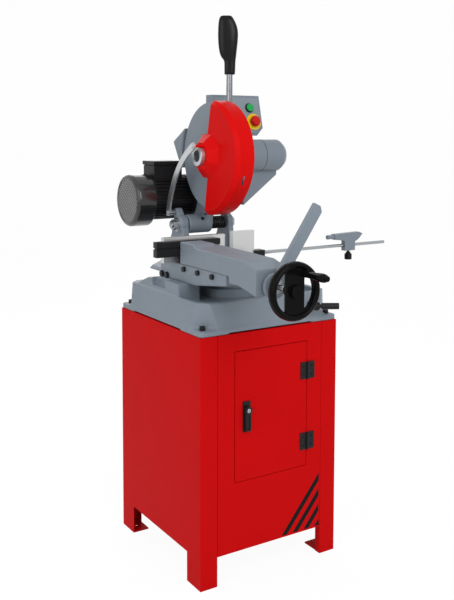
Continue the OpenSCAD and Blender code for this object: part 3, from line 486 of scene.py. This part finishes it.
# Cabinet: folded and welded steel sheet in a satin red powder coat.
# Two side panels carry the legs; front and back panels, top, shelf and feet join them.
powder_red = coat("powder_red", (0.56, 0.004, 0.005), 0.4, 700, 0.00022, tone=0.10, ior=1.08)


def narrowed(place):
    """Draws the outermost points along X inwards, which opens a joint beside the neighbouring sheet."""
    joint = 0.9 * MM
    edge = 0.4 * MM
    low = place[:, 0].min()
    high = place[:, 0].max()
    place[place[:, 0] < low + edge, 0] += joint
    place[place[:, 0] > high - edge, 0] -= joint
    return place


for panel in ("left_side_panel", "right_side_panel", "door"):
    eased(panel, powder_red, 1.2 * MM)
eased("front_panel", powder_red, 0.5 * MM, change=narrowed)
eased("back_panel", powder_red, 0.5 * MM)
for plate in ("top_plate", "shelf", "foot_plates"):
    eased(plate, powder_red, 0.8 * MM)

# Front panel trim: four black slanting bands of film at the lower right corner,
# and two small screw heads under the lower edge.
film_black = coat("film_black", (0.008, 0.008, 0.009), 0.36, 420, 0.00008, tone=0.08, shine=0.3, ior=1.2)
front_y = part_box("front_panel")[0][1]
panel_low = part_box("front_panel")[0][2]
panel_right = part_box("front_panel")[1][0]


def slanted_bands():
    """Parallel bands cut by the panel's right and lower edges: each is a clipped strip
    with a small thickness."""
    thick = 0.0003
    width = 0.021
    pitch = 0.044
    margin = 0.006
    first = 0.150
    rise = math.tan(math.radians(50))
    top = 0.205
    right = panel_right - margin
    low = panel_low + margin
    points = []
    faces = []
    for band in range(4):
        start = right - first + band * pitch
        corners = []
        for edge in (start, start + width):
            reach = min(right - edge, top / rise)
            corners.append([(edge, low), (edge + reach, low + reach * rise)])
        (left_low, left_high), (right_low, right_high) = corners
        outline = [left_low, right_low, right_high]
        if left_high[0] < right and right_high[0] >= right:
            outline.append((right, left_high[1]))
        outline.append(left_high)
        base = len(points)
        count = len(outline)
        points += [(x, front_y - thick, z) for x, z in outline]
        points += [(x, front_y, z) for x, z in outline]
        faces.append([base + i for i in range(count)])
        for i in range(count):
            j = (i + 1) % count
            faces.append([base + j, base + i, base + count + i, base + count + j])
    return mesh_piece("front_bands", points, faces)


bands = slanted_bands()
bands.data.materials.append(film_black)
add_piece(bands, "stand")

screw_zinc = coat("screw_zinc", (0.34, 0.35, 0.36), 0.34, 300, 0.00005, metallic=1.0)
screw_xs = (-0.13, 0.14)
screw_back = 0.012
lower_screws = [
    turned([0.0, 3.2 * MM, 4.0 * MM, 4.0 * MM], [-4.5 * MM, -4.2 * MM, -3.0 * MM, 0.0],
           (x, front_y + screw_back, panel_low), (0, 0, 1), 20)
    for x in screw_xs
]
add_piece(joined("lower_screws", lower_screws, screw_zinc), "stand")

# Door hinges: two black butt hinges, pressed steel leaves round a pin, four screws a hinge.
# The latch is a black plate with a turning handle and a bright lock button.
satin_black = coat("satin_black", (0.012, 0.012, 0.013), 0.36, 500, 0.00012, tone=0.25, shine=0.4, ior=1.3)
for leaf in ("hinge_frame_leaves", "hinge_door_leaves"):
    eased(leaf, satin_black, 0.5 * MM)
hinge_low, hinge_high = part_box("hinge_frame_leaves")
hinge_axis_x = hinge_low[0] + 5 * MM
leaf_face = front_y - 3 * MM
leaf_h = 56 * MM
screw_steps = (14 * MM, 42 * MM)
screw_off = 17 * MM
screw_r = 3.6 * MM
frame_heads = []
door_heads = []
for low in (hinge_low[2], hinge_high[2] - leaf_h):
    for step in screw_steps:
        frame_heads.append(pan_head((hinge_axis_x + screw_off, leaf_face, low + step), FRONT, screw_r))
        door_heads.append(pan_head((hinge_axis_x - screw_off, leaf_face, low + step), FRONT, screw_r))
add_piece(joined("hinge_frame_screws", frame_heads, satin_black), "stand")
add_piece(joined("hinge_door_screws", door_heads, satin_black), "door")

bright_steel = coat("bright_steel", (0.36, 0.38, 0.4), 0.24, 260, 0.00005, tone=0.08, metallic=1.0)
dark_steel = coat("dark_steel", (0.13, 0.135, 0.14), 0.4, 300, 0.00008, metallic=1.0)
eased("latch_plate", satin_black, 1.0 * MM)
eased("latch_handle", satin_black, 1.2 * MM)
eased("latch_tongue", bright_steel, 0.6 * MM)
handle_low, handle_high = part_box("latch_handle")
lock_place = ((handle_low[0] + handle_high[0]) / 2, handle_low[1] + 1.2 * MM, handle_high[2] - 13 * MM)
lock_r = np.array([6.6, 6.6, 5.9, 1.6, 1.4, 0.0]) * MM
lock_h = np.array([0.0, 2.2, 2.8, 2.8, 1.8, 1.8]) * MM
lock_button = turned(lock_r, lock_h, lock_place, FRONT, 32)
add_piece(joined("latch_lock", [lock_button], bright_steel), "latch")

# Base casting, turntable, column and vise: grey iron castings with soft cast edges,
# sprayed with blue-grey machine enamel that keeps a little of the sand texture.
GREY = (0.2, 0.238, 0.28)
cast_grey = coat("cast_grey", GREY, 0.46, 190, 0.0006, tone=0.14, drift=0.2, shine=0.32)
smooth_grey = coat("smooth_grey", GREY, 0.4, 420, 0.00022, tone=0.10, drift=0.16, shine=0.32)
base_low, base_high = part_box("base_casting")


def corner_flats(place):
    """A flat across each upright corner of the casting: points outside its plane
    move straight back onto it."""
    arc_r = 100 * MM
    flat_at = 91 * MM
    flange_top = base_low[2] + 24 * MM
    above_flange = place[:, 2] > flange_top
    for x_side in (-1, 1):
        for y_side in (-1, 1):
            out = np.array((x_side, y_side)) * math.sqrt(0.5)
            centre = np.array((x_side, y_side)) * (np.array(base_high[:2]) - arc_r)
            beyond = (place[:, :2] - centre) @ out - flat_at
            cut = above_flange & (beyond > 0)
            place[cut, :2] -= beyond[cut, None] * out
    return place


reshaped(cast_form("base_casting", cast_grey, 3.4 * MM, 3), corner_flats)
cast_form("column", cast_grey, 2.4 * MM, 4)
cast_form("vise_bed", cast_grey, 2.8 * MM, 3)
cast_form("vise_carriage", cast_grey, 2.4 * MM, 3)
eased("turntable", smooth_grey, 2.0 * MM)
eased("casting_bolts", satin_black, 0.7 * MM)
eased("swivel_clamp_ring", dark_steel, 0.8 * MM)
eased("lock_lever", satin_black, 1.2 * MM)
deck_z = 0.790
bed_screw_axes = np.array([(33, 146), (67, 146), (-255, 180), (-168, 180), (-81, 180)]) * MM + (0, deck_z)


def full_heads(place):
    """Each screw a little fuller about its own axis, with the outer faces of the heads drawn out."""
    reach = 12 * MM
    fuller = 1.3
    skin = 1.5 * MM
    drawn = 2.5 * MM
    for axis in bed_screw_axes:
        out = place[:, 1:] - axis
        near = np.linalg.norm(out, axis=1) < reach
        place[near, 1:] = axis + out[near] * fuller
    outer = place[:, 0] < place[:, 0].min() + skin
    place[outer, 0] -= drawn
    return place


eased("bed_screws", satin_black, 0.8 * MM, change=full_heads)

# Vise: ground steel jaws, a black moving jaw, a bronze nut and a bright screw.
# A groove runs round the moving jaw; the clamping lever is painted like the castings.
jaw_steel = coat("jaw_steel", (0.6, 0.6, 0.6), 0.34, 340, 0.00005, tone=0.06, drift=0.1, metallic=0.85)
bronze = coat("bronze", (0.5, 0.31, 0.1), 0.36, 240, 0.0001, metallic=1.0)
for jaw in ("fixed_jaw_left", "fixed_jaw_right"):
    eased(jaw, jaw_steel, 0.8 * MM)
jaw_low, jaw_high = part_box("moving_jaw")
groove_rise = 0.56
groove_z = jaw_low[2] + groove_rise * (jaw_high[2] - jaw_low[2])
groove_half = 2.2 * MM
groove_depth = np.array((3 * MM, 3 * MM, 0.0))
jaw_core = block(
    np.array((jaw_low[0], jaw_low[1], groove_z - groove_half)) + groove_depth,
    np.array((jaw_high[0], jaw_high[1], groove_z + groove_half)) - groove_depth,
)
jaw_forms = [
    block(jaw_low, (jaw_high[0], jaw_high[1], groove_z - groove_half)),
    block((jaw_low[0], jaw_low[1], groove_z + groove_half), jaw_high),
    jaw_core,
]
stands_for(rounded_off(joined("moving_jaw_blocks", jaw_forms, satin_black), 1.2 * MM), "moving_jaw")
eased("vise_nut", bronze, 0.8 * MM)
eased("vise_screw", bright_steel, 0.8 * MM)
eased("clamp_lever", smooth_grey, 1.6 * MM)

# Handwheel and crank: moulded black plastic on a steel hub.
# The rim is an oval ring turned round the screw's axis, fuller than the solid under it.
black_plastic = coat("black_plastic", (0.006, 0.006, 0.0065), 0.24, 900, 0.00012, tone=0.2, ior=1.25)
wheel_black = coat("wheel_black", (0.004, 0.004, 0.0045), 0.15, 900, 0.00006, tone=0.15, ior=1.14)
eased("handwheel", wheel_black, 1.6 * MM)
wheel_place = (-0.150, -0.594, 0.974)
rim_middle = 73.5
rim_half_w = 9.5
rim_half_d = 15
rim_turn = np.linspace(0, 2 * math.pi, 25)
rim_r = (rim_middle + rim_half_w * np.cos(rim_turn)) * MM
rim_h = rim_half_d * np.sin(rim_turn) * MM
rim = turned(rim_r, rim_h, wheel_place, FRONT, 96, loop=True)
add_piece(joined("handwheel_rim", [rim], wheel_black, 60), "screw")
eased("crank_grip", wheel_black, 0.8 * MM)

# Material stop: grey clamp on a bright rod, with a black star knob.
# The rod stands in a black bracket beside the right jaw.
eased("stop_bracket", satin_black, 1.2 * MM)
eased("stop_rod", bright_steel, 0.8 * MM)
eased("stop_clamp", smooth_grey, 1.4 * MM)
eased("stop_knob", black_plastic, 1.6 * MM)

# Hinge of the head: bright shaft, nuts and washers, and the wound return spring.
# The spring is one wire on a helix round the hinge axis.
eased("pivot_shaft", bright_steel, 0.8 * MM)
eased("pivot_nuts", bright_steel, 0.8 * MM)


def wound_wire(start, end, turns, coil_r, wire_r):
    """A wound wire along X: a circle of wire carried along a helix, with flat ends."""
    steps = 36 * turns
    sides = 12
    turn = np.linspace(0, 2 * math.pi * turns, steps)
    share = np.linspace(0, 1, steps)
    out = np.stack([np.zeros(steps), np.cos(turn), np.sin(turn)], axis=1)
    centre = np.array(start) + share[:, None] * (np.array(end) - np.array(start)) + coil_r * out
    along = np.gradient(centre, axis=0)
    along /= np.linalg.norm(along, axis=1)[:, None]
    across = np.cross(along, out)
    ring = np.linspace(0, 2 * math.pi, sides, endpoint=False)
    return centre[:, None, :] + wire_r * (
        np.cos(ring)[None, :, None] * out[:, None, :] + np.sin(ring)[None, :, None] * across[:, None, :]
    )


spring_low, spring_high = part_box("return_spring")
wire_r = 3.3 * MM
coil_r = 20 * MM
spring_turns = 7
head_axis = (0.205, 1.080)
spring_start = (spring_low[0] + wire_r, *head_axis)
spring_end = (spring_high[0] - wire_r, *head_axis)
spring_rings = wound_wire(spring_start, spring_end, spring_turns, coil_r, wire_r)
spring = joined("return_spring_wire", [lofted(spring_rings)], satin_black, 60)
stands_for(spring, "return_spring")

# Saw head: gear case and cover are castings, the rear guard is pressed sheet.
# The red front guard, its boss and the curved link move with the head; the blade stands inside.
cast_form("gear_case", smooth_grey, 2.6 * MM, 5)
cover = cast_form("gear_cover", smooth_grey, 2.6 * MM, 5)
spindle_axis = np.array((0.066, 1.326))
housing_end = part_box("gear_cover")[1][0]


def housing_cone(place):
    """Cone on the free end of the spindle housing: the radius falls evenly over the last stretch."""
    depth = 17 * MM
    inset = 13 * MM
    housing_r = 55 * MM
    out = place[:, 1:] - spindle_axis
    radius = np.linalg.norm(out, axis=1)
    limit = housing_r - inset * np.clip(1 - (housing_end - place[:, 0]) / depth, 0, 1)
    near_end = (place[:, 0] > housing_end - depth) & (radius > limit)
    place[near_end, 1:] = spindle_axis + out[near_end] * (limit[near_end] / radius[near_end])[:, None]
    return place


reshaped(cover, housing_cone)
# Painted shade: a thin dark ring, a little proud of the spindle housing, stands for the shadow line of a
# groove round it.
joint_r = np.array([54.0, 56.4, 56.4, 54.0]) * MM
joint_h = np.array([-2.2, -1.4, 1.4, 2.2]) * MM
joint_x = 0.178
housing_groove_shade = turned(joint_r, joint_h, (joint_x, *spindle_axis), (1, 0, 0), 72)
add_piece(joined("housing_groove_shade", [housing_groove_shade], dark_steel), "head")
eased("cover_screws", satin_black, 0.6 * MM)
lug_r = 33.6 * MM
lug_screw_r = 6.5 * MM
lug_screws = []
for x, lift in ((0.012, 34), (0.036, 68)):
    out = np.array((0.0, -math.cos(math.radians(lift)), math.sin(math.radians(lift))))
    lug_screws.append(pan_head(np.array((x, *head_axis)) + lug_r * out, out, lug_screw_r))
add_piece(joined("lug_screws", lug_screws, satin_black), "head")


def rear_sector(place):
    """Carries the upper end of the rear guard on under the front one: angles above the spindle
    grow by one ratio."""
    sleeve_r = 63 * MM
    carried_on = 1.13
    out = place[:, 1:] - spindle_axis
    radius = np.linalg.norm(out, axis=1)
    turn = np.arctan2(out[:, 1], out[:, 0])
    turn = np.where((radius > sleeve_r) & (turn > 0), turn * carried_on, turn)
    place[:, 1] = spindle_axis[0] + radius * np.cos(turn)
    place[:, 2] = spindle_axis[1] + radius * np.sin(turn)
    return place


eased("fixed_guard", smooth_grey, 0.8 * MM, change=rear_sector)
plated_silver = coat("plated_silver", (0.56, 0.58, 0.59), 0.34, 260, 0.00005, tone=0.08, metallic=0.9)


def full_ring(place):
    """The light hub ring a little fuller outside: points beyond its middle radius move out by one ratio."""
    middle_r = 25 * MM
    fuller = 1.12
    out = place[:, 1:] - spindle_axis
    outer = np.linalg.norm(out, axis=1) > middle_r
    place[outer, 1:] = spindle_axis + out[outer] * fuller
    return place


eased("hub_ring", plated_silver, 1.0 * MM, change=full_ring)
guard_red = coat("guard_red", (0.67, 0.005, 0.005), 0.3, 520, 0.00016, tone=0.08, shine=0.25, ior=1.15)


def guard_outline(place):
    """Turns the shell's points about the spindle so that its ends lean forward by a few degrees,
    lengthens the lower end, and draws the boss in between eight corners:
    radius times cos(pi/8) / cos(angle off a flat)."""
    boss_r = 77 * MM
    boss_inner_r = 45.5 * MM
    boss_back = -30 * MM
    upper_lean = 0.92
    lower_lean = 1.06
    shell_r = 150 * MM
    lower_from = math.radians(45)
    longer = 14 * MM
    flat = math.pi / 4
    corner = 1.06
    out = place[:, 1:] - spindle_axis
    radius = np.linalg.norm(out, axis=1)
    turn = np.arctan2(out[:, 1], -out[:, 0])
    lean = np.where(turn > 0, upper_lean, lower_lean)
    turn = np.where(radius > boss_r, turn * lean, turn)
    lower = np.clip((-turn - lower_from) / lower_from, 0.0, 1.0)
    radius = np.where(radius > shell_r, radius + longer * lower, radius)
    off = np.mod(turn + flat / 2, flat) - flat / 2
    boss = (radius > boss_inner_r) & (radius <= boss_r) & (place[:, 0] < boss_back)
    radius = np.where(boss, radius * corner * math.cos(flat / 2) / np.cos(off), radius)
    place[:, 1] = spindle_axis[0] - radius * np.cos(turn)
    place[:, 2] = spindle_axis[1] + radius * np.sin(turn)
    return place


eased("moving_guard", guard_red, 1.0 * MM, change=guard_outline)
eased("guard_link", plated_silver, 1.2 * MM)
eased("spindle", bright_steel, 0.6 * MM)
eased("saw_blade", bright_steel, 0.2 * MM)
eased("blade_flanges", dark_steel, 0.8 * MM)
eased("worm_wheel", bronze, 0.5 * MM)
eased("worm_shaft", dark_steel, 0.6 * MM)

# Motor: ribbed iron frame, pressed fan cover with a grille, terminal box on top.
# Frame and cover are drawn fuller than their solids, by ratios from the motor's axis.
motor_axis = np.array((0.330, 1.163))
fuller_frame = 1.06
fuller_top = 1.26
fuller_cover = 1.15


def full_body(place):
    """The ribbed body fuller: points move away from the motor's axis, most of all in the upper part.
    The front, where the guard link swings past, keeps the smaller ratio."""
    rise_from = 0.3
    rise_over = 0.4
    out = place[:, 1:] - motor_axis
    rise = out[:, 1] / np.maximum(np.linalg.norm(out, axis=1), 1 * MM)
    upper = np.clip((rise - rise_from) / rise_over, 0.0, 1.0)
    ratio = fuller_frame + (fuller_top - fuller_frame) * upper
    place[:, 1:] = motor_axis + out * ratio[:, None]
    return place


eased("motor_frame", satin_black, 0.5 * MM, change=full_body)


def fan_cover_shell():
    """Pressed cover: a cylinder with a rounded shoulder, turned in at the open end and round the grille."""
    low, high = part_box("fan_cover")
    radius = (high[2] - low[2]) / 2 * fuller_cover
    length = high[0] - low[0]
    bend = np.linspace(0, math.pi / 2, 9)
    shoulder = 13 * MM
    back_r = 50 * MM
    edge = 1 * MM
    lip = 3 * MM
    wall = 4 * MM
    straight = 12 * MM
    r = np.concatenate([
        [back_r, radius - edge, radius, radius],
        radius - shoulder + shoulder * np.cos(bend),
        [radius - shoulder - lip, radius - shoulder - wall, radius - shoulder - wall],
        [radius - wall, radius - wall, back_r],
    ])
    h = np.concatenate([
        [0, 0, edge, straight],
        length - shoulder + shoulder * np.sin(bend),
        [length, length - edge, length - wall],
        [length - shoulder, wall, wall],
    ])
    place = (high[0], (low[1] + high[1]) / 2, (low[2] + high[2]) / 2)
    return turned(r, h, place, (-1, 0, 0), 72), place, radius - shoulder - lip, length


def grille_bars(place, radius, length):
    """A diagonal grid of thin bars, each as long as the chord of the round opening."""
    bars = []
    pitch = 10.0 * MM
    half_thick = 0.7 * MM
    half_wide = 1.6 * MM
    overlap = 1.0 * MM
    layers = ((1.6 * MM, 1.0), (2.6 * MM, -1.0))
    slant = math.sqrt(0.5)
    for step in range(-7, 8):
        offset = step * pitch
        reach = math.sqrt(max(radius ** 2 - offset ** 2, 0)) + overlap
        points, faces = slat((0.0, offset, 0.0), (half_thick, half_wide, reach))
        for layer, mirror in layers:
            y = slant * (points[:, 1] - points[:, 2])
            z = slant * (points[:, 1] + points[:, 2]) * mirror
            x = points[:, 0] - length + layer
            bars.append((np.stack([x, y, z], axis=1) + np.asarray(place), faces))
    return bars


gloss_black = coat("gloss_black", (0.011, 0.011, 0.012), 0.2, 300, 0.00006, tone=0.2, drift=0.08, clear=0.25)
grille_grey = coat("grille_grey", (0.27, 0.27, 0.275), 0.36, 300, 0.00006, tone=0.2)
cover_form, cover_place, grille_r, cover_length = fan_cover_shell()
stands_for(joined("fan_cover_shell", [cover_form], gloss_black, 40), "fan_cover")
grille = joined("fan_grille", grille_bars(cover_place, grille_r, cover_length), grille_grey, 40)
add_piece(grille, "head")
eased("motor_fan", black_plastic, 0.5 * MM)
eased("motor_rotor", dark_steel, 0.6 * MM)
eased("terminal_box", satin_black, 2.0 * MM)

# Controls: sheet-metal box with start button and emergency stop, lever with a moulded grip.
# front_foot and front_head are the (y, z) of the box's leaning front, front_out its direction.
eased("control_box", smooth_grey, 1.1 * MM)
box_low, box_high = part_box("control_box")
front_foot = np.array((0.124, 1.395))
front_head = np.array((0.160, 1.540))
front_out = np.array((0.0, -0.9706, 0.2410))


def on_front(x, rise):
    """A point of the leaning front: x across, rise from 0 at its lower edge to 1 at its upper edge."""
    return np.array((x, *(front_foot + rise * (front_head - front_foot))))


def front_sheet(outline, proud):
    """A thin plate on the leaning front, inside an outline of (x, rise) corners, standing proud of it."""
    foot = [on_front(x, rise) for x, rise in outline]
    count = len(foot)
    points = np.array([at - 1 * MM * front_out for at in foot] + [at + proud * front_out for at in foot])
    sides = [(i, (i + 1) % count, (i + 1) % count + count, i + count) for i in range(count)]
    return points, [tuple(range(count))[::-1], tuple(range(count, 2 * count)), *sides]


border = 9 * MM
plate_left = box_low[0] + border
plate_right = box_high[0] - border
corner_w = 25 * MM
low_rise = 0.06
corner_rise = 0.22
high_rise = 0.94
plate_outline = [
    (plate_left, low_rise), (plate_right - corner_w, low_rise), (plate_right, corner_rise),
    (plate_right, high_rise), (plate_left, high_rise),
]
panel_grey = coat("panel_grey", (0.235, 0.275, 0.315), 0.34, 420, 0.00012, tone=0.08, drift=0.1, shine=0.32)
sheet = joined("control_panel", [front_sheet(plate_outline, 1.4 * MM)], panel_grey)
add_piece(rounded_off(sheet, 0.6 * MM), "head")
start_low, start_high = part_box("start_button")
start_rise = 100 / 145
start_place = on_front((start_low[0] + start_high[0]) / 2, start_rise)
bezel_r = np.array([14.2, 17.5, 17.5, 16.5, 14.8, 14.8]) * MM
bezel_h = np.array([0.0, 0.0, 2.6, 3.4, 3.4, 0.4]) * MM
bezel = turned(bezel_r, bezel_h, start_place + 1.2 * MM * front_out, front_out, 48)
add_piece(joined("start_bezel", [bezel], satin_black), "head")
start_green = coat("start_green", (0.015, 0.36, 0.09), 0.25, 400, 0.00005, shine=0.25)
collar_yellow = coat("collar_yellow", (0.86, 0.6, 0.012), 0.35, 400, 0.00005, shine=0.2)
stop_red = coat("stop_red", (0.6, 0.006, 0.006), 0.2, 400, 0.00005, shine=0.2)
eased("start_button", start_green, 2.0 * MM, 3)
eased("estop_collar", collar_yellow, 0.8 * MM)
eased("estop_button", stop_red, 2.0 * MM, 3)
polished_tube = coat("polished_tube", (0.2, 0.21, 0.225), 0.14, 260, 0.00003,
                     tone=0.06, drift=0.06, metallic=1.0)
eased("lever_tube", polished_tube, 0.8 * MM)


def grip_form():
    """Upright hand grip: rounded-square rings, offset so that the head overhangs the neck on one side.
    Each row gives height, reach to the overhanging side, reach to the other side, and half depth, in mm."""
    rows = np.array([
        (0, 15.5, 17.0, 13.0), (2, 17.6, 19.2, 15.0), (6, 18.0, 20.0, 15.5), (44, 18.0, 21.0, 15.8),
        (50, 19.4, 21.6, 16.2), (56, 25.0, 22.4, 16.8), (64, 31.0, 23.4, 17.8), (80, 36.0, 25.0, 19.4),
        (104, 39.4, 28.0, 21.0), (128, 40.6, 30.0, 21.8), (148, 40.4, 30.2, 21.6), (168, 39.6, 26.0, 20.2),
        (184, 38.0, 18.6, 18.4), (195, 35.4, 12.4, 15.6), (201, 31.5, 7.6, 12.2), (203, 25.5, 3.0, 8.0),
    ]) * MM
    height, reach, other, depth = rows.T
    steps = 56
    turn = np.linspace(0, 2 * math.pi, steps, endpoint=False)
    square = 0.72
    along = np.sign(np.cos(turn)) * np.abs(np.cos(turn)) ** square
    across = np.sign(np.sin(turn)) * np.abs(np.sin(turn)) ** square
    half = (reach + other) / 2
    middle = (reach - other) / 2
    side = np.array((-0.844, 0.536, 0.0))
    facing = np.array((0.536, 0.844, 0.0))
    low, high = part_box("lever_tube")
    foot = np.array(((low[0] + high[0]) / 2, (low[1] + high[1]) / 2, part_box("lever_grip")[0][2]))
    centre = foot + middle[:, None] * side + height[:, None] * np.array((0.0, 0.0, 1.0))
    return (
        centre[:, None, :]
        + (half[:, None] * along[None, :])[:, :, None] * side
        + (depth[:, None] * across[None, :])[:, :, None] * facing
    )


grip = joined("lever_grip_form", [lofted(grip_form())], black_plastic, 60)
grip_round = grip.modifiers.new("round", "SUBSURF")
grip_round.levels = 1
grip_round.render_levels = 1
stands_for(grip, "lever_grip")
